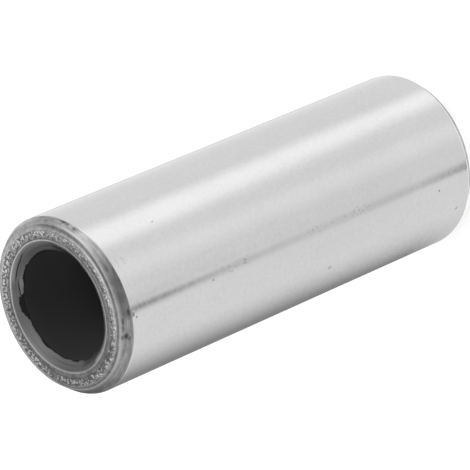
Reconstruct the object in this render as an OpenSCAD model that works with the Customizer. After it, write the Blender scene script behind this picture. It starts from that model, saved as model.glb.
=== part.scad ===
// Gudgeon pin: a straight hollow steel pin, turned from one piece and ground outside.
// It stands on one end face, with its axis along +Z and its origin at the centre of that face.
// Both ends are alike: a countersunk mouth, a raised flat face, a low step down to a narrow
// shoulder, and a lead chamfer that guides the pin into its bosses.

/* [Pin] */
// Outside diameter of the ground surface
pin_d = 20; // [12:0.5:60]
// Length over the two end faces
pin_length = 55; // [20:1:160]
// Thickness of the wall between the ground surface and the bore
wall = 3.75; // [3.1:0.05:5.5]

/* [Mouth of the bore] */
// Radial width of the countersink
mouth_w = 1.1; // [0.2:0.05:1.8]
// Depth of the countersink below the end face
mouth_depth = 0.75; // [0.2:0.05:3]
// Radius on the edge between the countersink and the end face
mouth_blend = 0.1; // [0.02:0.01:0.3]

/* [End face] */
// Height of the raised face above the shoulder
face_step = 0.2; // [0.1:0.01:0.5]
// Radial width of the slope from the raised face down to the shoulder
slope_w = 0.35; // [0.1:0.05:0.8]
// Radius on the outer edge of the raised face
face_blend = 0.25; // [0.05:0.05:0.6]

/* [Lead] */
// Radial width of the flat shoulder round the raised face
shoulder_w = 0.25; // [0.05:0.05:0.6]
// Radial width of the lead chamfer
lead_w = 0.65; // [0.4:0.05:1.5]
// Angle between the lead chamfer and the axis
lead_angle = 35; // [15:1:60]
// Radius that blends the lead chamfer into the ground surface
lead_blend = 0.3; // [0.05:0.05:0.6]

/* [Hidden] */

// Smoothness of the round surfaces in the preview
$fn = 180;

// Hair by which a blend's arc overlaps the edges that it runs into
HAIR = 0.001;

pin_r = pin_d / 2;
bore_r = pin_r - wall;
mouth_r = bore_r + mouth_w;
shoulder_r = pin_r - lead_w;
foot_r = shoulder_r - shoulder_w;
face_r = foot_r - slope_w;
lead_depth = lead_w / tan(lead_angle);

// Corners of one end's section, from the bore outwards: radius, depth below the face, blend radius
END_CORNERS = [
    [bore_r, mouth_depth, 0],
    [mouth_r, 0, mouth_blend],
    [face_r, 0, face_blend],
    [foot_r, face_step, 0],
    [shoulder_r, face_step, 0],
    [pin_r, face_step + lead_depth, lead_blend]
];

// All corners of the half section, in turn: the lower end outwards, then the upper end inwards
LAST = len(END_CORNERS) - 1;
SECTION = concat(
    END_CORNERS,
    [for (i = [LAST:-1:0]) [END_CORNERS[i].x, pin_length - END_CORNERS[i].y, END_CORNERS[i].z]]
);

function point(i) = [SECTION[i].x, SECTION[i].y];
function before(i) = point((i + len(SECTION) - 1) % len(SECTION));
function after(i) = point((i + 1) % len(SECTION));
function unit(v) = v / norm(v);

// Unit vectors from a corner along the edges that meet there, and half the angle between them
function back(i) = unit(before(i) - point(i));
function ahead(i) = unit(after(i) - point(i));
function half_angle(i) = acos(back(i) * ahead(i)) / 2;

// Distance from a corner to the ends of its blend, and the centre of the blend's arc
function run(i) = SECTION[i].z / tan(half_angle(i));
function arc_centre(i) = point(i) + unit(back(i) + ahead(i)) * SECTION[i].z / sin(half_angle(i));
function corner(i) = SECTION[i].z == 0
    ? [point(i)]
    : [point(i) + back(i) * run(i), point(i) + ahead(i) * run(i)];

// Half section of the pin, with a true arc on each blended corner
module half_section() {
    polygon([for (i = [0:len(SECTION) - 1]) each corner(i)]);
    for (i = [0:len(SECTION) - 1])
        if (SECTION[i].z > 0)
            translate(arc_centre(i))
                circle(r = SECTION[i].z + HAIR);
}

// The pin, turned from one bar about its axis
module gudgeon_pin() {
    color("#cfd0d1")
        rotate_extrude()
            half_section();
}

gudgeon_pin();
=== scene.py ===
"""Gudgeon pin: the turned steel pin of the frame, finished as a used part on a pale studio floor."""
import itertools
import math
import bpy
import numpy as np
from mathutils import Matrix, Vector, noise


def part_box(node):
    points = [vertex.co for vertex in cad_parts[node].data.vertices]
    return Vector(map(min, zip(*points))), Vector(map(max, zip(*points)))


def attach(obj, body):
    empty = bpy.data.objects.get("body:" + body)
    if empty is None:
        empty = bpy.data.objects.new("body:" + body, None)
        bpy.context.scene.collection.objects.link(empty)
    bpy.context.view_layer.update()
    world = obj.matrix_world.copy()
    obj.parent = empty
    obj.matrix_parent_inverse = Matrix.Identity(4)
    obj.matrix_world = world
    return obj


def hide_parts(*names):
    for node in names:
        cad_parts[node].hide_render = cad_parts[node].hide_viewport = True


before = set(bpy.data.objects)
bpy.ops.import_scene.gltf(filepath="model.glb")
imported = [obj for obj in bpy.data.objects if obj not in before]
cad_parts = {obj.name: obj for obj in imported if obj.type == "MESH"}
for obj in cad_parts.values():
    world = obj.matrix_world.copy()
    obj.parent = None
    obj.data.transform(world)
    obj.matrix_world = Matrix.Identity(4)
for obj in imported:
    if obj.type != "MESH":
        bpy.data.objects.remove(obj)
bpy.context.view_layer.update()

MM = 0.001
NODE = "gudgeon_pin"
BODY = "root"

# Sizes of the pin in millimetres: the overall ones come from the frame, the rest are the turned end's
low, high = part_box(NODE)
PIN_R = round((high[0] - low[0]) / MM / 2, 2)
PIN_LENGTH = round((high[2] - low[2]) / MM, 2)
BORE_R = 6.25
MOUTH_R = 7.35
MOUTH_DEPTH = 0.75
MOUTH_BLEND = 0.1
FACE_R = 8.75
FACE_BLEND = 0.25
FOOT_R = 9.1
SHOULDER_R = 9.35
SHOULDER_DEPTH = 0.2
LEAD_SLOPE = math.tan(math.radians(35))
LEAD_DEPTH = SHOULDER_DEPTH + (PIN_R - SHOULDER_R) / LEAD_SLOPE
LEAD_BLEND = 0.3
# The bore and the turned ends lie this far out of true with the ground outside, towards an angle in degrees
RUNOUT = 0.22
RUNOUT_ANGLE = 255
towards = math.radians(RUNOUT_ANGLE)
END_CENTRE = (-RUNOUT * math.sin(towards), -RUNOUT * math.cos(towards), 0)

# Mesh of the turned surface: steps round the axis, and steps across each stretch of the section
STEPS_ROUND = 840
STEPS_BORE = 2
STEPS_MOUTH = 10
STEPS_FACE = 23
STEPS_SLOPE = 4
STEPS_SHOULDER = 1
STEPS_LEAD = 3
STEPS_OUTSIDE = 2
STEPS_BLEND = 4

# Marks on an end lie by their angle in degrees, 0 at -Y and 90 at -X; those on the lower end are turned on
LOWER_TURN = 140

# Sides of an end face, as a middle angle, half a width and a softness
TORN_SIDE = (10, 35, 30)
SMEARED_SIDE = (22, 42, 12)
FINE_SIDE = (280, 45, 25)
SPARSE_SIDE = (95, 45, 30)
SMOOTH_SIDE = (60, 100, 30)
WIDE_SIDE = (185, 45, 40)
BOLD_SIDE = (250, 38, 25)
CLEAN_SIDE = (325, 30, 40)
POLISHED_SIDE = (210, 60, 25)
BRIGHT_CREST_SIDE = (75, 30, 20)
# the step's edge line carries a painted highlight, brightest on this side
BRIGHT_STEP_SIDE = (0, 40, 30)
# soil with painted shade in the foot of the step and out on the shoulder, on these sides
SOILED_SHADED_FOOT_SIDE = (345, 50, 20)
BLACK_FOOT_SIDE = (352, 10, 14)
SOILED_SHADED_SHOULDER_SIDE = (85, 35, 15)
# Sides of the mouth and its countersink: the first two are sides of the painted highlight on the mouth's edge
# line
LIGHT_MOUTH_SIDE = (10, 55, 20)
BRIGHT_MOUTH_SIDE = (257, 35, 15)
LIP_SIDE = (195, 95, 12)
BRIGHT_LIP_SIDE = (247, 40, 12)
RUBBED_CONE_SIDE = (257, 33, 12)
CLEAN_CONE_SIDE = (5, 60, 12)
BARE_CONE_SIDE = (0, 15, 25)
DULL_CONE_SIDES = [(65, 22, 12), (313, 12, 12)]
# Sides of the lead, which is painted darker or lighter there: painted shade and painted highlights
SHADED_LEAD_SIDE = (8, 12, 10)
GLEAMING_LEAD_SIDES = [(331, 7, 8), (33, 5, 8)]
GLEAMING_EDGE_SIDE = (72, 15, 10)
BRIGHT_LEAD_SIDE = (260, 12, 14)
SHADED_LINES_LEAD_SIDE = (90, 35, 15)
HIGHLIGHT_STEP_SIDE = (30, 75, 20)
# Angles between which the turned lines on the lead grow fainter, and their strengths there
LINES_FADE = (110, 150)
LINES_STRENGTHS = (0.7, 0.35)

# Stipple coined into the end faces, true to the ground outside: radii and sizes in millimetres
GRAIN_SIZE = 0.3
GRAIN_DEPTH = 0.05
GRAIN_BORDER = 0.1
GRAIN_BEND_SIZE = 0.4
COINED_FROM = 7.75
COINED_TO = 8.65
COINED_MIDDLE = 8.2
INNER_WANDER = 0.12
INNER_WAVES = 60
OUTER_WANDER = 0.08
OUTER_WAVES = 90
SMOOTH_MARGIN = 0.5
WIDE_MARGIN = 0.3
# Beads in shares of a cell: how far they are bent, how large they are, and how many stay flat
GRAIN_BEND = 0.8
BEAD_SIZE = 0.3
BEAD_SPREAD = 0.35
FLAT_BEAD_SIZE = 0.1
FLAT_SHARE = 0.05
SPARSE_FLAT_SHARE = 0.1
SMOOTH_FLAT_SHARE = 0.8
BOLD_SIZE = 0.2
TORN_STRETCH = 0.35
FINE_SQUEEZE = 0.32
# Rows of cells left free inside the stipple, so that none has a number below 0
SPARE_ROWS = 8
# Seeds of what lies by chance: the cells, the two ways that beads are bent, and the outer border
SEED = 7
BEND_SEEDS = (0.3, 20.3)
BORDER_SEED = 5
# Radii over which the stipple's finish changes, about the turned end's own centre
RUBBED_RADII = (8.05, 8.45)
BOLD_RADII = (7.7, 8.1)
BRIGHT_BEADS_R = 8.3
INNER_CREST = 0.6
# Metal smeared inwards over the stipple: angles and radii of its border's ends, radii over which it fades
# out, and its slanted streaks
SMEAR_ANGLES = (25, 63)
SMEAR_RADII = (8.34, 8.85)
SMEAR_OUTER_RADII = (8.9, 8.75)
SMEAR_EDGE = 0.06
SMEAR_STRENGTH = 0.9
STREAK_TURN = 0.145
STREAK_SLANT = 1.45
STREAK_LENGTH = 0.3
STREAK_SIZE = 0.3
STREAK_REACH = 1.5
# How fast the lines that a tool or wheel leaves change along their length, per millimetre
MARKS_ALONG = 0.12
# Width of the lines along the mouth and along the shoulder that carry a painted highlight, in millimetres
RIM_WIDTH = 0.09
STEP_WIDTH = 0.1

# Damage to the edge of the countersink: a burr, a chip, a curl of metal that stands proud, and a groove.
# Depths and heights are in millimetres, a line is an angle and a depth at either end, the curl's side is
# its two ends with their softness, and the chip's ends are ragged and taper over so many degrees
TORN_EASE = 0.06
BURR_SIDE = (260, 41, 8)
BURR_HEIGHT = 0.13
BURR_DEPTH = 0.55
CHIP_SIDE = (195.5, 6.5, 1.5)
CHIP_DEPTH = 0.44
CHIP_RECESS = 0.1
CHIP_RISE = 0.3
CHIP_RAGGED = 8
CHIP_TAPERS = (12, 5)
CURL_SIDE = (204, 214, 1, 10)
CURL_LINE = (222, 0.48, 203, 0.58)
CURL_HEIGHT = 0.12
GROOVE_SIDE = (235, 12, 7)
GROOVE_LINE = (252, 0.24, 240, 0.33)
GROOVE_RECESS = 0.05
GROOVE_WIDTH = 0.03
# Sides where the bright cut of the countersink runs on down the bore, and by how many millimetres
SKIMMED_SIDES = [
    ((267, 23, 3), 0.35),
    ((303, 13, 8), 0.25),
    ((275, 17, 5), 4.0),
]

# Stains on the leads: angle and depth of the middle, half a length in degrees and half a width, strength
LEAD_STAINS = [
    (302.5, 0.87, 2.0, 0.15, 0.6),
    (305.5, 0.80, 2.2, 0.20, 0.75),
    (309.0, 0.70, 2.0, 0.15, 0.6),
    (309.0, 0.99, 1.6, 0.12, 0.6),
    (315.5, 0.69, 2.0, 0.14, 0.65),
    (317.0, 0.97, 2.0, 0.12, 0.6),
    (20.0, 1.03, 2.2, 0.12, 0.7),
    (25.5, 0.46, 2.6, 0.14, 0.7),
    (30.0, 0.43, 2.6, 0.12, 0.6),
    (36.5, 0.36, 1.6, 0.15, 0.6),
    (35.5, 0.69, 2.2, 0.22, 0.85),
    (37.0, 0.96, 1.5, 0.16, 0.6),
]

# Smudged places on the outside: height in millimetres, turn in degrees and strength
SMUDGED_PLACES = [
    ((36.5, 39.0), (17.0, 21.0), 0.6),
    ((40.2, 41.0), (14.0, 16.0), 0.5),
    ((24.5, 26.5), (17.0, 19.5), 0.5),
    ((21.5, 23.0), (17.0, 19.5), 0.4),
    ((17.0, 19.5), (16.0, 20.0), 0.6),
    ((2.0, 8.0), (284.0, 300.0), 0.3),
]
SMUDGE_GRAIN = 0.33
SMUDGE_HEIGHT_EASE = 0.8
SMUDGE_TURN_EASE = 2.5
# Single marks on the outside: turn and height, half a length in degrees and half a width, strength
OUTSIDE_MARKS = [
    (21.0, 53.5, 1.4, 0.18, 0.8),
    (23.5, 53.1, 0.9, 0.12, 0.6),
    (27.5, 6.2, 0.6, 0.14, 0.8),
    (46.0, 3.1, 0.8, 0.16, 0.7),
    (49.0, 23.6, 1.2, 0.25, 0.5),
    (21.5, 41.7, 0.8, 0.18, 0.35),
    (333.0, 45.9, 0.5, 0.12, 0.7),
]
# Scribble of hairlines on the outside: height and turn, with their softness
SCRIBBLE_HEIGHT = (52.3, 53.2, 0.3)
SCRIBBLE_TURN = (349, 1.5, 2)
# Heights between which the connecting rod's bush has rubbed the outside, in millimetres
RUBBED_FROM = 14
RUBBED_TO = 37
RUBBED_EASE = 6

# Greys of the finishes as linear shares: a pair is the darkest and the lightest of a grain
GROUND_GREYS = (0.55, 0.695)
GROUND_MARK_GREY = 0.2
LEAD_GREYS = (0.36, 0.6)
# greys of the side of the lead that is painted darker, as painted shade
SHADED_LEAD_GREYS = (0.3, 0.48)
# Greys of the painted highlights on the lead
GLEAMING_LEAD_GREYS = (0.5, 0.75)
BRIGHT_LEAD_GREYS = (0.6, 0.9)
LEAD_LINE_GREY = 0.3
# darker grey of the lines on the side of painted shade
SHADED_LINE_GREY = 0.14
LEAD_STAIN_GREY = 0.08
HIGHLIGHT_LEAD_GREY = 0.8
LEAD_TINT = (0.6, 0.6, 0.6, 1)
INNER_FACE_GREYS = (0.17, 0.37)
CLEAN_FACE_GREYS = (0.15, 0.33)
OUTER_FACE_GREYS = (0.46, 0.62)
POLISHED_FACE_GREYS = (0.62, 0.82)
HOLLOW_GREYS = (0.18, 0.32)
RUBBED_HOLLOW_GREYS = (0.45, 0.64)
HOLLOW_DIRT_GREY = 0.09
# bead tops are painted lighter than the hollows, as a painted highlight
BEAD_GREYS = (0.5, 0.72)
BRIGHT_BEAD_GREYS = (0.72, 0.95)
SMEARED_GREYS = (0.54, 0.74)
# grey of the soil and painted shade in the step's foot
SOIL_AND_SHADE_GREY = 0.1
# Greys of the painted highlight along the mouth's and the step's edge lines
MOUTH_GREY = 0.6
LIGHT_MOUTH_GREY = 0.78
BRIGHT_MOUTH_GREY = 1.0
STEP_GREY = 0.5
BRIGHT_STEP_GREY = 0.7
CUT_GREYS = (0.18, 0.32)
RUBBED_CUT_GREYS = (0.4, 0.6)
CLEAN_CUT_GREYS = (0.7, 1.0)
DULL_CUT_GREYS = (0.07, 0.15)
LIP_GREY = 0.45
BRIGHT_LIP_GREY = 0.75
# dark grey of the painted shade along the groove and the curl's torn edge
TORN_SHADE_GREY = 0.05
SCALE_EDGE_GREY = 0.02
SCALE_GREY = 0.09
# deeper down the bore the scale is painted lighter: painted light where little light reaches
DEEP_LIT_SCALE_GREY = 0.18
SCALE_SPECULAR = 0.2

# Roughness of each finish at its smoothest and its roughest, and what rubbing and marks add
GROUND_ROUGHNESS = (0.07, 0.12)
LEAD_ROUGHNESS = (0.3, 0.42)
FACE_ROUGHNESS = (0.2, 0.34)
BORE_ROUGHNESS = (0.36, 0.75)
RUBBED_ROUGHNESS = 0.04
MARK_ROUGHNESS = 0.3

# Fine relief in millimetres: pitch and height of the lines, and other heights
GROUND_PITCH = 0.12
GROUND_LINES = 0.0002
LEAD_PITCH = 0.07
LEAD_LINES = 0.006
FACE_PITCH = 0.06
FACE_LINES = 0.004
BORE_PITCH = 0.05
BORE_LINES = 0.008
WAVE_HEIGHT = 0.003
PIT_DEPTH = 0.008
FACE_GRAIN_HEIGHT = 0.012

# Sizes of uneven patterns, in millimetres
BROAD_MOTTLE_SIZE = 6.0
MOTTLE_SIZE = 0.4
WAVE_SIZE = 1.2
HAIRLINE_SIZE = 0.9
LEAD_BLOTCH_SIZE = 1.0
LEAD_SQUEEZE = (1, 1, 3)
FACE_BLOTCH_SIZE = 0.6
FACE_GRAIN_SIZE = 0.1
SPECKLE_SIZE = 0.13
DIRT_SIZE = 0.22
CUT_WAVE_SIZE = 1.2
CHIP_GRAIN_SIZE = 0.3
STAIN_GRAIN_SIZE = 0.12
# Values of a pattern between which a finish passes from one state to the other
CONTRAST = (0.3, 0.7)
MOTTLE_CONTRAST = (0.2, 0.8)
SPECKLE_CONTRAST = (0.35, 0.65)
DIRT_CONTRAST = (0.56, 0.66)
CUT_CONTRAST = (0.25, 0.75)
LINE_CONTRAST = (0.4, 0.65)
CREST_CONTRAST = (0.1, 0.8)
HAIRLINE_CONTRAST = (0.03, 0.01)
DOT_CONTRAST = (0.5, 0.1)
STAIN_CONTRAST = (2.0, 1.0)
# Shares and strengths of patterns
FINE_MOTTLE_SHARE = 0.6
SPECKLE_SHARE = 0.55
HAIRLINE_STRENGTH = 0.3
STAIN_RAGGED = 1.2
# Specks on the outside, how their outline wobbles, and their least size and dark core as shares
SPECKS = dict(spacing=2.6, share=0.04, size=0.075)
SPECK_WOBBLE = 0.12
SPECK_WOBBLE_SCALE = 6.0
SPECK_LEAST = 0.4
SPECK_CORE = 0.4

# Places where a finish comes in: radii on the face, and depths on the lead, in the mouth and in the bore
OUTER_FACE_RADII = (FACE_R - 0.6, FACE_R - 0.15)
GLEAMING_EDGE_DEPTHS = (0.4, 0.6)
SHALLOW_DEPTHS = (0.55, 0.1)
DULL_DEPTHS = (0.15, 0.5)
LIP_DEPTHS = (0.13, 0.02)
SCALE_EDGE_DEPTHS = (MOUTH_DEPTH, MOUTH_DEPTH + 0.2)
DEEP_LIT_SCALE_DEPTHS = (1.0, 9.0)
# Depths that the bright cut of the countersink reaches, its edge, and the edges of the painted shade along a
# torn line
CUT_REACH = (0.66, 0.8)
CUT_EDGE = 0.03
TORN_SHADE_EDGES = (0.05, 0.015)
# Soil and painted shade in the foot of the step and out on the shoulder: radii with a softness, and strengths
FOOT_BAND = (FOOT_R - 0.13, FOOT_R + 0.02, 0.1)
SHOULDER_BAND = (FOOT_R - 0.01, FOOT_R + 0.13, 0.07)
FOOT_SOIL_AND_SHADE = 0.1
SOILED_SHADED_FOOT = 0.42
BLACK_FOOT = 0.25
SOILED_SHADED_SHOULDER = 0.75

# Camera, fitted to the outline of the pin in the photograph
VIEW_ELEVATION = math.radians(40.18)
VIEW_ROLL = math.radians(-113.22)
VIEW_DISTANCE = 0.4656
VIEW_AIM = Vector((-0.00019, 0, 0.02863))
VIEW_LENS = 325.7
VIEW_SENSOR = 36
VIEW_CLIP = 0.01

# Floor: its radius and its gap below the pin in metres, its paint, and the glow that makes it white
FLOOR_R = 1.5
FLOOR_CORNERS = 64
FLOOR_GAP = 0.00002
FLOOR_PAINT = (0.8, 0.8, 0.8, 1)
FLOOR_GLOW = 0.68

# Tent strips below the horizon, which the upright outside mirrors: azimuths in degrees from -Y towards
# -X, heights as the z of a direction, and what a strip adds to the level
WALL_LEVEL = 1.0
WALL_STRIPS = [
    dict(start=-91, rise=22, end=-37, fall=22, gain=0.36),
    dict(start=-31, rise=16, end=5, fall=16, gain=0.09),
    dict(start=2, rise=6, end=30, fall=4, gain=-0.07, bottom=-0.687, top=-0.62, ease=0.01),
    dict(start=-66, rise=12, end=-38, fall=12, gain=-0.15, top=-0.63, ease=0.06),
    dict(start=30, rise=6.5, end=45.5, fall=9, gain=-0.54, bottom=-0.652, ease=0.029),
    dict(start=15, rise=18, end=41, fall=5, gain=-0.17, bottom=-0.64, ease=0.014),
    dict(start=27.5, rise=12, end=46.5, fall=6, gain=-0.6, top=-0.674, ease=0.016),
    dict(start=84, rise=75, end=180, fall=4, gain=-0.73, bottom=-0.686, top=-0.5, ease=0.016),
    dict(start=92, rise=45, end=176, fall=6, gain=-0.7, bottom=-0.5, ease=0.016),
    dict(start=-138, rise=10, end=-95, fall=20, gain=-0.22, bottom=-0.5, ease=0.016),
    dict(start=-180, rise=4, end=-100, fall=30, gain=-0.03),
    dict(start=-180, rise=1, end=-161, fall=14, gain=-0.6, top=-0.5, ease=0.016),
    dict(start=-200, rise=10, end=200, fall=10, gain=-0.35, bottom=-0.84, top=-0.71, ease=0.04),
    dict(start=-200, rise=10, end=200, fall=10, gain=0.4, top=-0.8, ease=0.08),
]
# Strips and patches above the horizon, which the ends mirror
HIGH_LEVEL = 0.42
HIGH_STRIPS = [
    dict(start=-125, rise=45, end=-25, fall=40, gain=0.3),
    dict(start=-25, rise=25, end=25, fall=25, gain=-0.22),
    dict(start=80, rise=40, end=178, fall=40, gain=-0.15),
]
HIGH_PATCHES = [
    dict(centre=(0, 0.34, 0.94), half_angle=25, softness=20, gain=0.7),
    dict(centre=(0.871, -0.352, 0.342), half_angle=18, softness=24, gain=0.35),
    dict(centre=(-0.97, 0, 0.242), half_angle=15, softness=20, gain=0.25),
]
# Heights between which the lower strips give way to the upper ones, as the z of a direction
HORIZON = (-0.15, 0.2)


# Section and mesh

def corner_arc(before, corner, after, radius):
    """Points of the arc that blends the corner between two straight stretches, from before to after."""
    p = Vector(corner)
    back = (Vector(before) - p).normalized()
    ahead = (Vector(after) - p).normalized()
    half = back.angle(ahead) / 2
    centre = p + (back + ahead).normalized() * radius / math.sin(half)
    start = p + back * radius / math.tan(half) - centre
    end = p + ahead * radius / math.tan(half) - centre
    turn = math.pi - 2 * half
    way = math.copysign(1, start.x * end.y - start.y * end.x)
    spins = [Matrix.Rotation(way * turn * i / STEPS_BLEND, 2) for i in range(STEPS_BLEND + 1)]
    return [tuple(centre + spin @ start) for spin in spins]


def stretch(start, end, steps):
    """Points from start to end in even steps, both ends included."""
    return [tuple(Vector(start).lerp(Vector(end), i / steps)) for i in range(steps + 1)]


def end_section():
    """One end of the half section, from the middle of the bore outwards to the middle of the outside.

    Each entry is the finish of a stretch and its points as (radius, depth below the end face)."""
    middle = PIN_LENGTH / 2
    rim = (BORE_R, MOUTH_DEPTH)
    mouth = (MOUTH_R, 0)
    face = (FACE_R, 0)
    foot = (FOOT_R, SHOULDER_DEPTH)
    shoulder = (SHOULDER_R, SHOULDER_DEPTH)
    lead = (PIN_R, LEAD_DEPTH)
    mouth_arc = corner_arc(rim, mouth, face, MOUTH_BLEND)
    face_arc = corner_arc(mouth, face, foot, FACE_BLEND)
    lead_arc = corner_arc(shoulder, lead, (PIN_R, middle), LEAD_BLEND)
    return [
        ("bore", stretch((BORE_R, middle), rim, STEPS_BORE)),
        ("cone", stretch(rim, mouth_arc[0], STEPS_MOUTH)),
        ("face", mouth_arc),
        ("face", stretch(mouth_arc[-1], face_arc[0], STEPS_FACE)),
        ("face", face_arc),
        ("face", stretch(face_arc[-1], foot, STEPS_SLOPE)),
        ("face", stretch(foot, shoulder, STEPS_SHOULDER)),
        ("lead", stretch(shoulder, lead_arc[0], STEPS_LEAD)),
        ("ground", lead_arc),
        ("ground", stretch(lead_arc[-1], (PIN_R, middle), STEPS_OUTSIDE)),
    ]


def window(angle, middle, half, soft):
    """1 within half a width of the middle angle, easing to 0 over soft degrees beyond it."""
    off = abs((angle - middle + 180) % 360 - 180)
    return np.clip((half + soft - off) / soft, 0, 1)


def wander(angle, waves, seed):
    """An uneven value round the pin, about -1 to 1, with so many waves in the whole turn."""
    reach = waves / 2 / math.pi
    turns = np.radians(angle)
    return np.array([noise.noise(Vector((reach * math.cos(t), reach * math.sin(t), seed))) for t in turns])


def ripple(r, angle, size, seed):
    """An uneven value over an end face, about -1 to 1, with features of that size in millimetres."""
    turns = np.radians(angle)
    places = np.stack([r * np.cos(turns) / size, r * np.sin(turns) / size, np.full(r.shape, seed)], -1)
    return np.array([noise.noise(Vector(p)) for p in places.reshape(-1, 3)]).reshape(r.shape)


def beads(r, angle, end):
    """Height of the coined beads on an end face, 0 between them to 1 on top; on one side they are torn."""
    chance = np.random.default_rng(SEED + end)
    count = round(2 * math.pi * COINED_MIDDLE / GRAIN_SIZE)
    u = angle % 360 / 360 * count
    length = 1 + TORN_STRETCH * window(angle, *TORN_SIDE) - FINE_SQUEEZE * window(angle, *FINE_SIDE)
    v = (r - COINED_FROM) / (GRAIN_SIZE * length) + SPARE_ROWS
    # the beads are squeezed out of round
    u = u + GRAIN_BEND * ripple(r, angle, GRAIN_BEND_SIZE, end + BEND_SEEDS[0])
    v = v + GRAIN_BEND * ripple(r, angle, GRAIN_BEND_SIZE, end + BEND_SEEDS[1])
    cells = chance.random((count, int(v.max()) + 3, 3))
    inwards = np.clip((COINED_FROM + SMOOTH_MARGIN - r) / SMOOTH_MARGIN, 0, 1)
    sparse = SPARSE_FLAT_SHARE * window(angle, *SPARSE_SIDE)
    bare = FLAT_SHARE + sparse + SMOOTH_FLAT_SHARE * inwards * window(angle, *SMOOTH_SIDE)
    near = np.full(v.shape, np.inf)
    for i, j in itertools.product((-1, 0, 1), repeat=2):
        column = np.floor(u).astype(int) + i
        row = np.floor(v).astype(int) + j
        cell = cells[column % count, row]
        reach = np.hypot(u - column - cell[..., 0], v - row - cell[..., 1])
        draw = cell[..., 2]
        full_size = BEAD_SIZE + BEAD_SPREAD * (draw - bare) / (1 - bare)
        near = np.minimum(near, reach / np.where(draw < bare, FLAT_BEAD_SIZE, full_size))
    near = near / (1 + BOLD_SIZE * window(angle, *BOLD_SIDE))
    return np.clip(1 - near ** 2, 0, 1)


def coined_share(r, angle, end):
    """How fully an end face is stippled, 0 to 1, within uneven borders."""
    inner = COINED_FROM + INNER_WANDER * wander(angle, INNER_WAVES, end)
    outer = COINED_TO + WIDE_MARGIN * window(angle, *WIDE_SIDE)
    outer = outer + OUTER_WANDER * wander(angle, OUTER_WAVES, end + BORDER_SEED)
    return np.clip((r - inner) / GRAIN_BORDER, 0, 1) * np.clip((outer - r) / GRAIN_BORDER, 0, 1)


def line_depth(angle, line):
    """Depth of a torn line at an angle: the line is given as angle and depth at either end."""
    return np.interp(angle, (line[2], line[0]), (line[3], line[1]))


def mouth_damage(angle, depth):
    """How far the countersink stands proud of its true cone, in millimetres."""
    chip = window(angle, *CHIP_SIDE) * np.clip((depth - CHIP_DEPTH) / TORN_EASE, 0, 1)
    start, end, start_soft, end_soft = CURL_SIDE
    shown = np.clip((angle - start) / start_soft, 0, 1) * np.clip((end + end_soft - angle) / end_soft, 0, 1)
    curl = shown * np.clip((depth - line_depth(angle, CURL_LINE)) / TORN_EASE, 0, 1)
    off = (depth - line_depth(angle, GROOVE_LINE)) / GROOVE_WIDTH
    groove = window(angle, *GROOVE_SIDE) * np.exp(-off ** 2)
    burr = window(angle, *BURR_SIDE) * np.clip((depth - BURR_DEPTH) / (MOUTH_DEPTH - BURR_DEPTH), 0, 1)
    return BURR_HEIGHT * burr + CURL_HEIGHT * curl - CHIP_RECESS * chip - GROOVE_RECESS * groove


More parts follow.
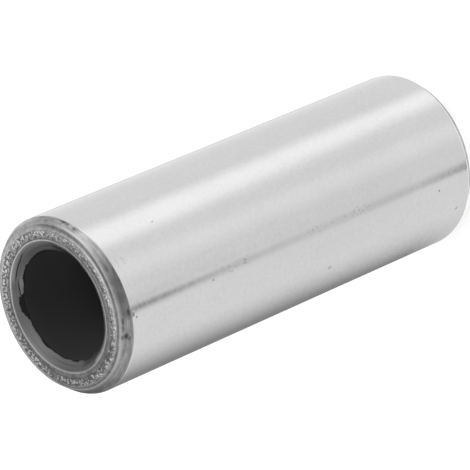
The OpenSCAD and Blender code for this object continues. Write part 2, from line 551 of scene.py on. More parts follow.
def turned_mesh(finishes):
    """The pin as one closed mesh, turned about +Z, with the stipple and damage of its ends as real relief."""
    radii, depths, kinds, sharp = [], [], [], []
    for end in (0, 1):
        parts = end_section()
        if end:
            parts = [(kind, points[::-1]) for kind, points in parts[::-1]]
        for kind, points in parts:
            # a stretch leaves its last point to the next one
            for i, (r, depth) in enumerate(points[:-1]):
                radii.append(r)
                depths.append(depth)
                kinds.append(kind)
                sharp.append(i == 0)
    rings = len(radii)
    upper = np.arange(rings) >= rings // 2
    r = np.repeat(np.array(radii)[:, None], STEPS_ROUND, 1)
    depth = np.repeat(np.array(depths)[:, None], STEPS_ROUND, 1)
    turns = np.linspace(0, 2 * math.pi, STEPS_ROUND, endpoint=False)
    # the lead takes up the run-out: it is longer where the shoulder lies further in from the ground outside
    off_true = np.clip((PIN_R - r) / (PIN_R - SHOULDER_R), 0, 1)
    around = np.arctan2(-np.cos(turns), -np.sin(turns))
    outwards = np.cos(around - towards)
    depth = depth - (1 - off_true) * RUNOUT * outwards / LEAD_SLOPE
    relief = np.ones_like(r)
    coined = np.zeros_like(r)
    for end in (0, 1):
        angle = (np.degrees(around) + (0 if end else LOWER_TURN)) % 360
        face = (np.array(kinds) == "face") & (upper == end)
        from_axis = r[face] + RUNOUT * outwards
        relief[face] = beads(from_axis, angle, end)
        coined[face] = coined_share(from_axis, angle, end)
        # the ring where the cone meets the bore moves with the cone
        cone = ((np.array(kinds) == "cone") | np.isclose(depths, MOUTH_DEPTH)) & (upper == end)
        r[cone] -= mouth_damage(angle, depth[cone])
    depth = depth + GRAIN_DEPTH * (1 - relief) * coined
    x = r * np.cos(turns) + off_true * END_CENTRE[0]
    y = r * np.sin(turns) + off_true * END_CENTRE[1]
    z = np.where(upper[:, None], PIN_LENGTH - depth, depth)
    # lines along the mouth's edge and the shoulder's edge, where the finishes paint a highlight
    rim = np.clip(1 - (r - MOUTH_R - MOUTH_BLEND / 2) / RIM_WIDTH, 0, 1)
    edge_highlight = np.maximum(rim, np.clip(1 - abs(r - SHOULDER_R) / STEP_WIDTH, 0, 1))

    ring = np.arange(rings)[:, None] * STEPS_ROUND
    next_ring = np.roll(ring, -1)
    step = np.arange(STEPS_ROUND)[None, :]
    next_step = np.roll(step, -1)
    faces = np.stack([ring + step, ring + next_step, next_ring + next_step, next_ring + step], -1)
    mesh = bpy.data.meshes.new(NODE)
    verts = np.stack([x, y, z], -1).reshape(-1, 3) * MM
    mesh.from_pydata(verts.tolist(), [], faces.reshape(-1, 4).tolist())
    order = list(finishes)
    for kind in order:
        mesh.materials.append(finishes[kind])
    # the countersink and the bore share one finish
    slots = [order.index("bore" if kind == "cone" else kind) for kind in kinds]
    mesh.polygons.foreach_set("material_index", np.repeat(slots, STEPS_ROUND).astype(np.int32))
    mesh.shade_smooth()
    # an edge along a ring where two stretches meet stays crisp
    ends = np.empty(len(mesh.edges) * 2, np.int32)
    mesh.edges.foreach_get("vertices", ends)
    ends = ends.reshape(-1, 2) // STEPS_ROUND
    crisp = (ends[:, 0] == ends[:, 1]) & np.array(sharp)[ends[:, 0]]
    mesh.edges.foreach_set("use_edge_sharp", crisp)
    for name, values in (("relief", relief), ("coined", coined), ("edge_highlight", edge_highlight)):
        stored = mesh.attributes.new(name, "FLOAT", "POINT")
        stored.data.foreach_set("value", values.reshape(-1).astype(np.float32))
    mesh.update()
    return mesh


# Node helpers

def add(tree, kind, inputs=None, **settings):
    """A new node of that kind: inputs gives values or sockets by input name or number."""
    made = tree.nodes.new(kind)
    for name, value in settings.items():
        setattr(made, name, value)
    for name, value in (inputs or {}).items():
        if isinstance(value, bpy.types.NodeSocket):
            tree.links.new(value, made.inputs[name])
        else:
            made.inputs[name].default_value = value
    return made


def calc(tree, operation, *values):
    """The result of a Math node."""
    return add(tree, "ShaderNodeMath", dict(enumerate(values)), operation=operation).outputs[0]


def ramp(tree, value, start, end, low=0.0, high=1.0):
    """A value that eases from low at start to high at end."""
    inputs = {"Value": value, "From Min": start, "From Max": end, "To Min": low, "To Max": high}
    return add(tree, "ShaderNodeMapRange", inputs, interpolation_type="SMOOTHSTEP").outputs[0]


def band(tree, value, start, end, soft):
    """A mask that is 1 from start to end and eases to 0 within soft on either side."""
    rise = ramp(tree, value, start - soft, start)
    return calc(tree, "MULTIPLY", rise, ramp(tree, value, end + soft, end))


def side(tree, angle, middle, half, soft):
    """A mask that is 1 within half a width of the middle angle and eases to 0 over soft degrees beyond it."""
    turned = calc(tree, "FLOORED_MODULO", calc(tree, "ADD", angle, 180.0 - middle), 360.0)
    return ramp(tree, calc(tree, "ABSOLUTE", calc(tree, "SUBTRACT", turned, 180.0)), half + soft, half)


def mix(tree, share, first, second):
    """A colour between two, by share."""
    colours = [(c, c, c, 1) if isinstance(c, float) else c for c in (first, second)]
    inputs = {0: share, 6: colours[0], 7: colours[1]}
    return add(tree, "ShaderNodeMix", inputs, data_type="RGBA").outputs[2]


def cloud(tree, place, size, detail=2.0):
    """Soft noise, 0 to 1, with features of that size in millimetres."""
    inputs = {"Vector": place, "Scale": 1 / size, "Detail": detail}
    return add(tree, "ShaderNodeTexNoise", inputs).outputs[0]


def layer(tree, name):
    """A value stored on the mesh."""
    return add(tree, "ShaderNodeAttribute", attribute_name=name).outputs["Fac"]


def new_group(name, inputs, outputs):
    """A shader node group with named sockets: its tree, its input node's sockets and its output node's."""
    tree = bpy.data.node_groups.new(name, "ShaderNodeTree")
    for key, value in inputs.items():
        kind = "NodeSocketVector" if value is None else "NodeSocketFloat"
        socket = tree.interface.new_socket(key, in_out="INPUT", socket_type=kind)
        if value is not None:
            socket.default_value = value
    for key, kind in outputs.items():
        tree.interface.new_socket(key, in_out="OUTPUT", socket_type=kind)
    return tree, tree.nodes.new("NodeGroupInput").outputs, tree.nodes.new("NodeGroupOutput").inputs


def use(tree, group, **inputs):
    """The outputs of a group placed in a tree with its own values."""
    made = tree.nodes.new("ShaderNodeGroup")
    made.node_tree = group
    for name, value in inputs.items():
        socket = made.inputs[name.replace("_", " ").capitalize()]
        if isinstance(value, bpy.types.NodeSocket):
            tree.links.new(value, socket)
        else:
            socket.default_value = value
    return made.outputs


# Effects that several finishes share

def pin_place_group():
    """Where a point lies on the pin: place in millimetres, radius, angles in degrees and depth below its end.

    Turn is 0 at -Y and 90 at -X; Angle is the same, but is turned on over the lower half. Radius and
    angles are taken about a centre."""
    names = ("Radius", "Turn", "Angle", "Depth")
    outputs = {"Place": "NodeSocketVector"} | {name: "NodeSocketFloat" for name in names}
    inputs = {"Length": PIN_LENGTH, "Lower turn": LOWER_TURN, "Centre": None}
    tree, inlet, outlet = new_group("pin place", inputs, outputs)
    own = add(tree, "ShaderNodeTexCoord").outputs["Object"]
    place = add(tree, "ShaderNodeVectorMath", {0: own, "Scale": 1 / MM}, operation="SCALE").outputs[0]
    off = add(tree, "ShaderNodeVectorMath", {0: place, 1: inlet["Centre"]}, operation="SUBTRACT").outputs[0]
    x, y, z = add(tree, "ShaderNodeSeparateXYZ", {0: off}).outputs
    squares = [calc(tree, "MULTIPLY", c, c) for c in (x, y)]
    back = [calc(tree, "MULTIPLY", c, -1.0) for c in (x, y)]
    turn = calc(tree, "DEGREES", calc(tree, "ARCTAN2", *back))
    lower = calc(tree, "LESS_THAN", z, calc(tree, "DIVIDE", inlet["Length"], 2.0))
    angle = calc(tree, "ADD", turn, calc(tree, "MULTIPLY", lower, inlet["Lower turn"]))
    tree.links.new(place, outlet["Place"])
    tree.links.new(calc(tree, "SQRT", calc(tree, "ADD", *squares)), outlet["Radius"])
    tree.links.new(calc(tree, "FLOORED_MODULO", turn, 360.0), outlet["Turn"])
    tree.links.new(calc(tree, "FLOORED_MODULO", angle, 360.0), outlet["Angle"])
    tree.links.new(calc(tree, "MINIMUM", z, calc(tree, "SUBTRACT", inlet["Length"], z)), outlet["Depth"])
    return tree


def turning_marks_group():
    """Fine lines round the pin that a tool or wheel leaves: their height, 0 to 1, across a distance."""
    inputs = {"Place": None, "Across": 0.0, "Pitch": 0.08}
    tree, inlet, outlet = new_group("turning marks", inputs, {"Height": "NodeSocketFloat"})
    x, y, z = add(tree, "ShaderNodeSeparateXYZ", {0: inlet["Place"]}).outputs
    line = calc(tree, "DIVIDE", inlet["Across"], inlet["Pitch"])
    along = [calc(tree, "MULTIPLY", c, MARKS_ALONG) for c in (x, y)]
    place = add(tree, "ShaderNodeCombineXYZ", {0: along[0], 1: along[1], 2: line}).outputs[0]
    tree.links.new(cloud(tree, place, 1.0, detail=3.0), outlet["Height"])
    return tree


def specks_group():
    """Scattered small specks: a mask of one speck in some of the cells of an uneven grid."""
    inputs = {"Place": None, "Spacing": 2.0, "Share": 0.3, "Size": 0.1}
    tree, inlet, outlet = new_group("specks", inputs, {"Mask": "NodeSocketFloat"})
    uneven = {"Vector": inlet["Place"], "Scale": SPECK_WOBBLE_SCALE}
    wobble = {0: add(tree, "ShaderNodeTexNoise", uneven).outputs[1], "Scale": SPECK_WOBBLE}
    shift = add(tree, "ShaderNodeVectorMath", wobble, operation="SCALE").outputs[0]
    place = add(tree, "ShaderNodeVectorMath", {0: inlet["Place"], 1: shift}).outputs[0]
    scale = calc(tree, "DIVIDE", 1.0, inlet["Spacing"])
    cells = add(tree, "ShaderNodeTexVoronoi", {"Vector": place, "Scale": scale}).outputs
    pick = add(tree, "ShaderNodeSeparateColor", {0: cells["Color"]}).outputs
    chosen = calc(tree, "LESS_THAN", pick[0], inlet["Share"])
    size = calc(tree, "MULTIPLY", inlet["Size"], calc(tree, "ADD", pick[1], SPECK_LEAST))
    reach = calc(tree, "MULTIPLY", size, scale)
    spot = ramp(tree, cells["Distance"], reach, calc(tree, "MULTIPLY", reach, SPECK_CORE))
    tree.links.new(calc(tree, "MULTIPLY", spot, chosen), outlet["Mask"])
    return tree


def stain_group():
    """A ragged stain: a mask round an angle in degrees and a depth or height in millimetres."""
    inputs = {"Place": None, "Angle": 0.0, "Depth": 0.0, "Middle": 0.0, "Down": 0.5}
    inputs |= {"Half length": 2.0, "Half width": 0.15}
    tree, inlet, outlet = new_group("stain", inputs, {"Mask": "NodeSocketFloat"})
    squares = []
    for value, middle, half in (("Angle", "Middle", "Half length"), ("Depth", "Down", "Half width")):
        off = calc(tree, "DIVIDE", calc(tree, "SUBTRACT", inlet[value], inlet[middle]), inlet[half])
        squares.append(calc(tree, "MULTIPLY", off, off))
    ragged = calc(tree, "MULTIPLY", cloud(tree, inlet["Place"], STAIN_GRAIN_SIZE), STAIN_RAGGED)
    reach = calc(tree, "ADD", calc(tree, "SQRT", calc(tree, "ADD", *squares)), ragged)
    tree.links.new(ramp(tree, reach, *STAIN_CONTRAST), outlet["Mask"])
    return tree


# Finishes

def new_finish(name):
    """A material with its node tree and its Principled shader."""
    material = bpy.data.materials.new(name)
    material.use_nodes = True
    tree = material.node_tree
    return material, tree, tree.nodes["Principled BSDF"]


def bump(tree, shader, height):
    """Relief in millimetres on the shader's normal."""
    normal = add(tree, "ShaderNodeBump", {"Height": height, "Strength": 1.0, "Distance": MM}).outputs[0]
    tree.links.new(normal, shader.inputs["Normal"])


def connect(tree, shader, **sockets):
    """Links values to the shader's inputs by name."""
    for name, socket in sockets.items():
        tree.links.new(socket, shader.inputs[name.replace("_", " ").title()])


def shaded(tree, grain, share, plain, changed):
    """Greys that follow a grain from darkest to lightest, from one such pair to the other by share."""
    darkest, lightest = [mix(tree, share, *greys) for greys in zip(plain, changed)]
    return mix(tree, grain, darkest, lightest)


def stains(tree, groups, place, angle, depth, spots):
    """A mask of ragged stains: each spot gives its middle, half a length, half a width and a strength."""
    mask = 0.0
    for middle, down, half_length, half_width, strength in spots:
        stain = use(tree, groups["stain"], place=place, angle=angle, depth=depth, middle=middle, down=down,
                    half_length=half_length, half_width=half_width)["Mask"]
        mask = calc(tree, "MAXIMUM", mask, calc(tree, "MULTIPLY", stain, strength))
    return mask


def ground_steel(groups):
    """Ground and lapped outside: mirror bright, faintly mottled, with a few specks, marks and smudges."""
    material, tree, shader = new_finish("ground_steel")
    spot = use(tree, groups["place"])
    place, turn = spot["Place"], spot["Turn"]
    z = add(tree, "ShaderNodeSeparateXYZ", {0: place}).outputs[2]
    # a smudge is a patch of fine dark dots
    smudged = 0.0
    for heights, turns, gain in SMUDGED_PLACES:
        upright = band(tree, z, *heights, SMUDGE_HEIGHT_EASE)
        spread = calc(tree, "MULTIPLY", upright, band(tree, turn, *turns, SMUDGE_TURN_EASE))
        smudged = calc(tree, "ADD", smudged, calc(tree, "MULTIPLY", spread, gain))
    dots = add(tree, "ShaderNodeTexVoronoi", {"Vector": place, "Scale": 1 / SMUDGE_GRAIN}).outputs
    dark_dot = add(tree, "ShaderNodeSeparateColor", {0: dots["Color"]}).outputs[0]
    dark_dot = calc(tree, "MULTIPLY", dark_dot, ramp(tree, dots["Distance"], *DOT_CONTRAST))
    smudge = calc(tree, "MULTIPLY", smudged, dark_dot)
    dark = use(tree, groups["specks"], place=place, **SPECKS)["Mask"]
    dark = calc(tree, "MAXIMUM", dark, stains(tree, groups, place, turn, z, OUTSIDE_MARKS))
    # hairlines run where soft noise passes through its middle
    contour = calc(tree, "ABSOLUTE", calc(tree, "SUBTRACT", cloud(tree, place, HAIRLINE_SIZE), 0.5))
    scribbled = calc(tree, "MULTIPLY", band(tree, z, *SCRIBBLE_HEIGHT), side(tree, turn, *SCRIBBLE_TURN))
    hairline = calc(tree, "MULTIPLY", ramp(tree, contour, *HAIRLINE_CONTRAST), scribbled)
    dark = calc(tree, "MAXIMUM", dark, calc(tree, "MULTIPLY", hairline, HAIRLINE_STRENGTH))
    broad = cloud(tree, place, BROAD_MOTTLE_SIZE, detail=4.0)
    mottle = cloud(tree, place, MOTTLE_SIZE, detail=3.0)
    steel = mix(tree, mix(tree, FINE_MOTTLE_SHARE, broad, mottle), *GROUND_GREYS)
    colour = mix(tree, calc(tree, "MAXIMUM", dark, smudge), steel, GROUND_MARK_GREY)
    rubbed = band(tree, z, RUBBED_FROM, RUBBED_TO, RUBBED_EASE)
    rubbed = calc(tree, "MULTIPLY", rubbed, RUBBED_ROUGHNESS)
    polish = calc(tree, "ADD", ramp(tree, mottle, *MOTTLE_CONTRAST, *GROUND_ROUGHNESS), rubbed)
    rough = calc(tree, "ADD", polish, calc(tree, "MULTIPLY", dark, MARK_ROUGHNESS))
    marks = use(tree, groups["marks"], place=place, across=z, pitch=GROUND_PITCH)["Height"]
    waves = calc(tree, "MULTIPLY", cloud(tree, place, WAVE_SIZE, detail=4.0), WAVE_HEIGHT)
    height = calc(tree, "ADD", calc(tree, "MULTIPLY", marks, GROUND_LINES), waves)
    bump(tree, shader, calc(tree, "SUBTRACT", height, calc(tree, "MULTIPLY", dark, PIT_DEPTH)))
    connect(tree, shader, base_color=colour, roughness=rough)
    shader.inputs["Metallic"].default_value = 1.0
    return material


def turned_lead(groups):
    """Turned lead chamfer: satin steel with lines round it, blotched all over and stained in two places."""
    material, tree, shader = new_finish("turned_lead")
    spot = use(tree, groups["place"], centre=END_CENTRE)
    place, angle, depth = spot["Place"], spot["Angle"], spot["Depth"]
    along = add(tree, "ShaderNodeVectorMath", {0: place, 1: LEAD_SQUEEZE}, operation="MULTIPLY").outputs[0]
    marks = use(tree, groups["marks"], place=place, across=depth, pitch=LEAD_PITCH)["Height"]
    blotch = ramp(tree, cloud(tree, along, LEAD_BLOTCH_SIZE, detail=4.0), *CONTRAST)
    stained = stains(tree, groups, place, angle, depth, LEAD_STAINS)
    # one side of the lead is painted darker: painted shade
    lead_shade = side(tree, angle, *SHADED_LEAD_SIDE)
    steel = shaded(tree, blotch, lead_shade, LEAD_GREYS, SHADED_LEAD_GREYS)
    # sides of the lead and of its outer edge are painted brighter: painted highlights
    gleam = calc(tree, "MAXIMUM", *[side(tree, angle, *where) for where in GLEAMING_LEAD_SIDES])
    lower_edge = ramp(tree, depth, *GLEAMING_EDGE_DEPTHS)
    outer_gleam = calc(tree, "MULTIPLY", side(tree, angle, *GLEAMING_EDGE_SIDE), lower_edge)
    gleam = calc(tree, "MAXIMUM", gleam, outer_gleam)
    steel = mix(tree, gleam, steel, mix(tree, blotch, *GLEAMING_LEAD_GREYS))
    steel = mix(tree, side(tree, angle, *BRIGHT_LEAD_SIDE), steel, mix(tree, blotch, *BRIGHT_LEAD_GREYS))
    fade_from, fade_to = LINES_FADE
    strong, faint = LINES_STRENGTHS
    brushed = ramp(tree, angle, fade_to, fade_from, faint, strong)
    # the turned lines are painted darker on one side: painted shade
    groove = mix(tree, side(tree, angle, *SHADED_LINES_LEAD_SIDE), LEAD_LINE_GREY, SHADED_LINE_GREY)
    lines = calc(tree, "MULTIPLY", ramp(tree, marks, *LINE_CONTRAST), brushed)
    lined = mix(tree, lines, steel, groove)
    # the line along the shoulder's edge is painted bright on one side: a painted highlight
    step = calc(tree, "MULTIPLY", layer(tree, "edge_highlight"), side(tree, angle, *HIGHLIGHT_STEP_SIDE))
    colour = mix(tree, stained, mix(tree, step, lined, HIGHLIGHT_LEAD_GREY), LEAD_STAIN_GREY)
    rough = ramp(tree, blotch, 0.0, 1.0, *LEAD_ROUGHNESS)
    bump(tree, shader, calc(tree, "MULTIPLY", marks, LEAD_LINES))
    connect(tree, shader, base_color=colour, roughness=rough)
    shader.inputs["Metallic"].default_value = 1.0
    shader.inputs["Specular Tint"].default_value = LEAD_TINT
    return material


def coined_face(groups):
    """End face: a stippled ring between duller margins, with painted highlights on its bead tops and edge
    lines, and dirt with painted shade at the step's foot.
    """
    material, tree, shader = new_finish("coined_face")
    spot = use(tree, groups["place"], centre=END_CENTRE)
    place, radius, angle = spot["Place"], spot["Radius"], spot["Angle"]
    marks = use(tree, groups["marks"], place=place, across=radius, pitch=FACE_PITCH)["Height"]
    blotch = ramp(tree, cloud(tree, place, FACE_BLOTCH_SIZE, detail=3.0), *CONTRAST)
    clean = side(tree, angle, *CLEAN_SIDE)
    outwards = ramp(tree, radius, *OUTER_FACE_RADII)
    speckle = ramp(tree, cloud(tree, place, SPECKLE_SIZE), *SPECKLE_CONTRAST)
    speckle = mix(tree, SPECKLE_SHARE, blotch, speckle)
    inner = shaded(tree, speckle, clean, INNER_FACE_GREYS, CLEAN_FACE_GREYS)
    bright_sides = [side(tree, angle, *where) for where in (POLISHED_SIDE, BRIGHT_CREST_SIDE)]
    polished = calc(tree, "MAXIMUM", *bright_sides)
    outer = shaded(tree, blotch, polished, OUTER_FACE_GREYS, POLISHED_FACE_GREYS)
    plain = mix(tree, outwards, inner, outer)
    dirt = ramp(tree, cloud(tree, place, DIRT_SIZE), *DIRT_CONTRAST)
    rubbed = calc(tree, "MULTIPLY", ramp(tree, radius, *RUBBED_RADII), clean)
    bold = calc(tree, "MULTIPLY", ramp(tree, radius, *BOLD_RADII), side(tree, angle, *BOLD_SIDE))
    hollow = shaded(tree, speckle, rubbed, HOLLOW_GREYS, RUBBED_HOLLOW_GREYS)
    hollow = mix(tree, calc(tree, "SUBTRACT", dirt, rubbed), hollow, HOLLOW_DIRT_GREY)
    bright = calc(tree, "MAXIMUM", rubbed, bold)
    bead = shaded(tree, blotch, bright, BEAD_GREYS, BRIGHT_BEAD_GREYS)
    # the bead tops are painted lighter than the hollows: a painted highlight
    crest = ramp(tree, radius, COINED_FROM, BRIGHT_BEADS_R, low=INNER_CREST)
    crest = calc(tree, "MULTIPLY", ramp(tree, layer(tree, "relief"), *CREST_CONTRAST), crest)
    stipple = mix(tree, crest, hollow, bead)
    face = mix(tree, layer(tree, "coined"), plain, stipple)
    # on one side metal is smeared inwards over the stipple, up to a ragged border; that side lies across
    # angle 0, so its own angles are half a turn on
    opposite = calc(tree, "FLOORED_MODULO", calc(tree, "ADD", angle, 180.0), 360.0)
    turned = calc(tree, "MULTIPLY", opposite, STREAK_TURN)
    slanted = calc(tree, "ADD", turned, calc(tree, "MULTIPLY", radius, STREAK_SLANT))
    drawn_out = calc(tree, "MULTIPLY", radius, STREAK_LENGTH)
    streaks = add(tree, "ShaderNodeCombineXYZ", {0: slanted, 1: drawn_out}).outputs[0]
    finger = calc(tree, "SUBTRACT", cloud(tree, streaks, STREAK_SIZE), 0.5)
    finger = calc(tree, "MULTIPLY", finger, STREAK_REACH)
    border = ramp(tree, opposite, SMEAR_ANGLES[0] + 180, SMEAR_ANGLES[1] + 180, *SMEAR_RADII)
    over = calc(tree, "SUBTRACT", calc(tree, "ADD", radius, finger), border)
    smeared = ramp(tree, over, -SMEAR_EDGE, SMEAR_EDGE)
    smeared = calc(tree, "MULTIPLY", smeared, side(tree, angle, *SMEARED_SIDE))
    fading = ramp(tree, radius, *SMEAR_OUTER_RADII, high=SMEAR_STRENGTH)
    smeared = calc(tree, "MULTIPLY", smeared, fading)
    face = mix(tree, smeared, face, mix(tree, blotch, *SMEARED_GREYS))
    # dirt and painted shade lie in the foot of the step, and on one side out on the shoulder
    foot = band(tree, radius, *FOOT_BAND)
    soil_and_shade = FOOT_SOIL_AND_SHADE
    for where, more in ((SOILED_SHADED_FOOT_SIDE, SOILED_SHADED_FOOT), (BLACK_FOOT_SIDE, BLACK_FOOT)):
        soil_and_shade = calc(tree, "ADD", soil_and_shade, calc(tree, "MULTIPLY", side(tree, angle, *where), more))
    soil_and_shade = calc(tree, "MULTIPLY", foot, soil_and_shade)
    outer_foot = band(tree, radius, *SHOULDER_BAND)
    outer_soil_and_shade = calc(tree, "MULTIPLY", side(tree, angle, *SOILED_SHADED_SHOULDER_SIDE), SOILED_SHADED_SHOULDER)
    soil_and_shade = calc(tree, "MAXIMUM", soil_and_shade, calc(tree, "MULTIPLY", outer_foot, outer_soil_and_shade))
    stepped = mix(tree, soil_and_shade, face, SOIL_AND_SHADE_GREY)
    # the lines along the mouth's and the shoulder's edges are painted bright, more on some sides: a painted
    # highlight
    mouth = mix(tree, side(tree, angle, *LIGHT_MOUTH_SIDE), MOUTH_GREY, LIGHT_MOUTH_GREY)
    mouth = mix(tree, side(tree, angle, *BRIGHT_MOUTH_SIDE), mouth, BRIGHT_MOUTH_GREY)
    step = mix(tree, side(tree, angle, *BRIGHT_STEP_SIDE), STEP_GREY, BRIGHT_STEP_GREY)
    edge_highlight = mix(tree, ramp(tree, radius, MOUTH_R, FOOT_R), mouth, step)
    colour = mix(tree, layer(tree, "edge_highlight"), stepped, edge_highlight)
    rough = ramp(tree, blotch, 0.0, 1.0, *FACE_ROUGHNESS)
    grain = calc(tree, "MULTIPLY", cloud(tree, place, FACE_GRAIN_SIZE), FACE_GRAIN_HEIGHT)
    bump(tree, shader, calc(tree, "ADD", grain, calc(tree, "MULTIPLY", marks, FACE_LINES)))
    connect(tree, shader, base_color=colour, roughness=rough)
    shader.inputs["Metallic"].default_value = 1.0
    return material


def bore_finish(groups):
    """Countersunk mouth, cut bright through the black scale that is left in the bore.

    The cut's inner edge is uneven: it stops short at the chip, and runs on down the wall on one side."""
    material, tree, shader = new_finish("bore_finish")
    spot = use(tree, groups["place"], centre=END_CENTRE)
    place, angle, depth = spot["Place"], spot["Angle"], spot["Depth"]
    marks = use(tree, groups["marks"], place=place, across=depth, pitch=BORE_PITCH)["Height"]
    uneven = cloud(tree, place, CUT_WAVE_SIZE, detail=5.0)
    # at the chip the black scale reaches up, between ragged ends
    shift = calc(tree, "MULTIPLY", cloud(tree, place, CHIP_GRAIN_SIZE), CHIP_RAGGED)
    shifted = calc(tree, "ADD", angle, shift)
    chip_from = CHIP_SIDE[0] - CHIP_SIDE[1] + CHIP_RAGGED / 2
    chip_to = CHIP_SIDE[0] + CHIP_SIDE[1] + CHIP_RAGGED / 2
    before, after = CHIP_TAPERS
    chip = calc(tree, "MULTIPLY", ramp(tree, shifted, chip_to + after, chip_to), CHIP_RISE)
    chip = calc(tree, "MULTIPLY", ramp(tree, shifted, chip_from - before, chip_from), chip)
    reach = calc(tree, "SUBTRACT", ramp(tree, uneven, *CUT_CONTRAST, *CUT_REACH), chip)
    for where, further in SKIMMED_SIDES:
        reach = calc(tree, "ADD", reach, calc(tree, "MULTIPLY", side(tree, angle, *where), further))
    edges = [calc(tree, way, reach, CUT_EDGE) for way in ("SUBTRACT", "ADD")]
    scale = ramp(tree, depth, *edges)
    # the groove and the torn edge of the curl are painted dark: painted shade along the crease
    torn = 0.0
    middle, half, soft = GROOVE_SIDE
    start, end, start_soft, end_soft = CURL_SIDE
    rise = ramp(tree, angle, start, start + start_soft)
    for shown, line in (
        (band(tree, angle, middle - half, middle + half, soft), GROOVE_LINE),
        (calc(tree, "MULTIPLY", rise, ramp(tree, angle, end + end_soft, end)), CURL_LINE),
    ):
        centre = ramp(tree, angle, line[0], line[2], line[1], line[3])
        off = calc(tree, "ABSOLUTE", calc(tree, "SUBTRACT", depth, centre))
        torn = calc(tree, "MAXIMUM", torn, calc(tree, "MULTIPLY", ramp(tree, off, *TORN_SHADE_EDGES), shown))
    shallow = ramp(tree, depth, *SHALLOW_DEPTHS)
    rubbed = calc(tree, "MULTIPLY", side(tree, angle, *RUBBED_CONE_SIDE), shallow)
    clean = calc(tree, "MULTIPLY", side(tree, angle, *CLEAN_CONE_SIDE), shallow)
    clean = calc(tree, "MAXIMUM", clean, side(tree, angle, *BARE_CONE_SIDE))
    dull = calc(tree, "MAXIMUM", *[side(tree, angle, *where) for where in DULL_CONE_SIDES])
    dull = calc(tree, "MULTIPLY", dull, ramp(tree, depth, *DULL_DEPTHS))
    lines = ramp(tree, marks, *CONTRAST)
    cut = shaded(tree, lines, rubbed, CUT_GREYS, RUBBED_CUT_GREYS)
    cut = mix(tree, clean, cut, mix(tree, lines, *CLEAN_CUT_GREYS))
    lip = calc(tree, "MULTIPLY", side(tree, angle, *LIP_SIDE), ramp(tree, depth, *LIP_DEPTHS))
    lip_steel = mix(tree, side(tree, angle, *BRIGHT_LIP_SIDE), LIP_GREY, BRIGHT_LIP_GREY)
    cut = mix(tree, lip, cut, lip_steel)
    cut = mix(tree, dull, cut, mix(tree, lines, *DULL_CUT_GREYS))
    # the scale is painted lighter deeper down the bore: painted light
    wall = mix(tree, ramp(tree, depth, *DEEP_LIT_SCALE_DEPTHS), SCALE_GREY, DEEP_LIT_SCALE_GREY)
    black = mix(tree, ramp(tree, depth, *SCALE_EDGE_DEPTHS), SCALE_EDGE_GREY, wall)
    colour = mix(tree, scale, mix(tree, torn, cut, TORN_SHADE_GREY), black)
    rough = ramp(tree, scale, 0.0, 1.0, *BORE_ROUGHNESS)
    bump(tree, shader, calc(tree, "MULTIPLY", marks, BORE_LINES))
    connect(tree, shader, base_color=colour, roughness=rough, metallic=calc(tree, "SUBTRACT", 1.0, scale))
    shader.inputs["Specular IOR Level"].default_value = SCALE_SPECULAR
    return material


# The pin

groups = {
    "place": pin_place_group(),
    "marks": turning_marks_group(),
    "specks": specks_group(),
    "stain": stain_group(),
}
finishes = {
    "ground": ground_steel(groups),
    "lead": turned_lead(groups),
    "face": coined_face(groups),
    "bore": bore_finish(groups),
}
pin = bpy.data.objects.new("gudgeon_pin_turned", turned_mesh(finishes))
bpy.context.collection.objects.link(pin)
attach(pin, BODY)
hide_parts(NODE)


# Studio: floor, pale tent and camera

def white_floor():
    """Plain pale floor: white to the camera, darker only where the pin shades it."""
    bpy.ops.mesh.primitive_circle_add(vertices=FLOOR_CORNERS, radius=FLOOR_R, fill_type="NGON")
    floor = bpy.context.object
    floor.name = "floor"
    floor.location.z = -FLOOR_GAP
    material = bpy.data.materials.new("floor")
    material.use_nodes = True
    tree = material.node_tree
    tree.nodes.clear()
    seen = add(tree, "ShaderNodeLightPath").outputs
    shown = calc(tree, "MAXIMUM", seen["Is Camera Ray"], seen["Is Transmission Ray"])
    shown = calc(tree, "MAXIMUM", shown, seen["Is Glossy Ray"])
    strength = calc(tree, "MULTIPLY", shown, FLOOR_GLOW)
    glow = add(tree, "ShaderNodeEmission", {"Color": (1, 1, 1, 1), "Strength": strength})
    paint = add(tree, "ShaderNodeBsdfDiffuse", {"Color": FLOOR_PAINT})
    both = add(tree, "ShaderNodeAddShader", {0: glow.outputs[0], 1: paint.outputs[0]})
    add(tree, "ShaderNodeOutputMaterial", {0: both.outputs[0]})
    floor.data.materials.append(material)
    # the ground steel mirrors the tent all round, not the floor
    floor.visible_glossy = False
    floor.visible_shadow = False


def strip_group():
    """A soft upright strip of the tent: its strength in a direction.

    It lies between two azimuths in degrees, and between two heights as the direction's z."""
    inputs = {"Direction": None, "Start": -10.0, "Rise": 5.0, "End": 10.0, "Fall": 5.0, "Gain": 1.0}
    inputs |= {"Bottom": -2.0, "Top": 2.0, "Ease": 0.03}
    tree, inlet, outlet = new_group("tent strip", inputs, {"Value": "NodeSocketFloat"})
    x, y, z = add(tree, "ShaderNodeSeparateXYZ", {0: inlet["Direction"]}).outputs
    back = [calc(tree, "MULTIPLY", c, -1.0) for c in (x, y)]
    azimuth = calc(tree, "DEGREES", calc(tree, "ARCTAN2", *back))
    share = inlet["Gain"]
    for value, edge, width, way in (
        (azimuth, "Start", "Rise", "ADD"),
        (azimuth, "End", "Fall", "SUBTRACT"),
        (z, "Bottom", "Ease", "ADD"),
        (z, "Top", "Ease", "SUBTRACT"),
    ):
        eased = ramp(tree, value, inlet[edge], calc(tree, way, inlet[edge], inlet[width]))
        share = calc(tree, "MULTIPLY", share, eased)
    tree.links.new(share, outlet["Value"])
    return tree


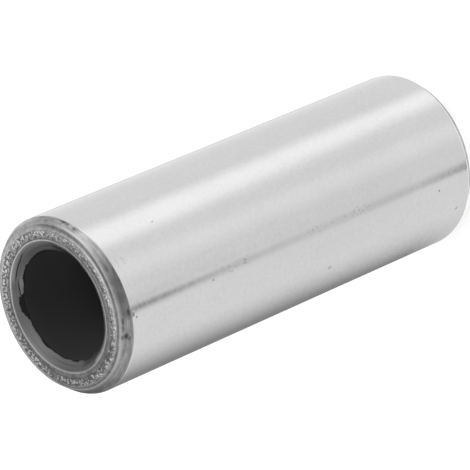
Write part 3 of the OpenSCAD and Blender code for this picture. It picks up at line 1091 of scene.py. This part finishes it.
def patch_group():
    """A soft round patch of the tent: its strength in a direction, round a centre, with angles in degrees."""
    inputs = {"Direction": None, "Centre": None, "Half angle": 20.0, "Softness": 10.0, "Gain": 1.0}
    tree, inlet, outlet = new_group("tent patch", inputs, {"Value": "NodeSocketFloat"})
    pair = {0: inlet["Direction"], 1: inlet["Centre"]}
    cosine = add(tree, "ShaderNodeVectorMath", pair, operation="DOT_PRODUCT").outputs["Value"]
    off = calc(tree, "DEGREES", calc(tree, "ARCCOSINE", cosine))
    half = calc(tree, "DIVIDE", inlet["Softness"], 2.0)
    outer = calc(tree, "ADD", inlet["Half angle"], half)
    inner = calc(tree, "SUBTRACT", inlet["Half angle"], half)
    tree.links.new(calc(tree, "MULTIPLY", ramp(tree, off, outer, inner), inlet["Gain"]), outlet["Value"])
    return tree


def studio_world():
    """Pale tent round the pin, with soft strips and patches of light and shade; the camera sees white."""
    world = bpy.data.worlds.new("studio")
    bpy.context.scene.world = world
    world.use_nodes = True
    tree = world.node_tree
    strip, patch = strip_group(), patch_group()
    direction = add(tree, "ShaderNodeTexCoord").outputs["Generated"]
    wall = [(strip, values) for values in WALL_STRIPS]
    above = [(strip, values) for values in HIGH_STRIPS] + [(patch, values) for values in HIGH_PATCHES]
    levels = []
    for level, shapes in ((WALL_LEVEL, wall), (HIGH_LEVEL, above)):
        for group, values in shapes:
            level = calc(tree, "ADD", level, use(tree, group, direction=direction, **values)["Value"])
        levels.append(level)
    z = add(tree, "ShaderNodeSeparateXYZ", {0: direction}).outputs[2]
    tent = mix(tree, ramp(tree, z, *HORIZON), *levels)
    # the camera's own rays see plain white, and glossy rays see the pale tent itself
    seen = add(tree, "ShaderNodeLightPath").outputs
    shown = calc(tree, "MAXIMUM", seen["Is Camera Ray"], seen["Is Transmission Ray"])
    tree.links.new(mix(tree, shown, tent, 1.0), tree.nodes["Background"].inputs["Color"])


def photo_camera():
    """Camera at the photograph's viewing angle, rolled so that the pin lies across the frame."""
    forward = Vector((0, math.cos(VIEW_ELEVATION), -math.sin(VIEW_ELEVATION)))
    level = Vector((1, 0, 0))
    right = level * math.cos(VIEW_ROLL) + level.cross(forward) * math.sin(VIEW_ROLL)
    camera = bpy.data.objects.new("camera", bpy.data.cameras.new("camera"))
    camera.data.lens = VIEW_LENS
    camera.data.sensor_width = VIEW_SENSOR
    camera.data.clip_start = VIEW_CLIP
    camera.matrix_world = Matrix((right, right.cross(forward), -forward)).transposed().to_4x4()
    camera.location = VIEW_AIM - forward * VIEW_DISTANCE
    bpy.context.collection.objects.link(camera)
    bpy.context.scene.camera = camera


white_floor()
studio_world()
photo_camera()
bpy.context.scene.view_settings.view_transform = "Standard"
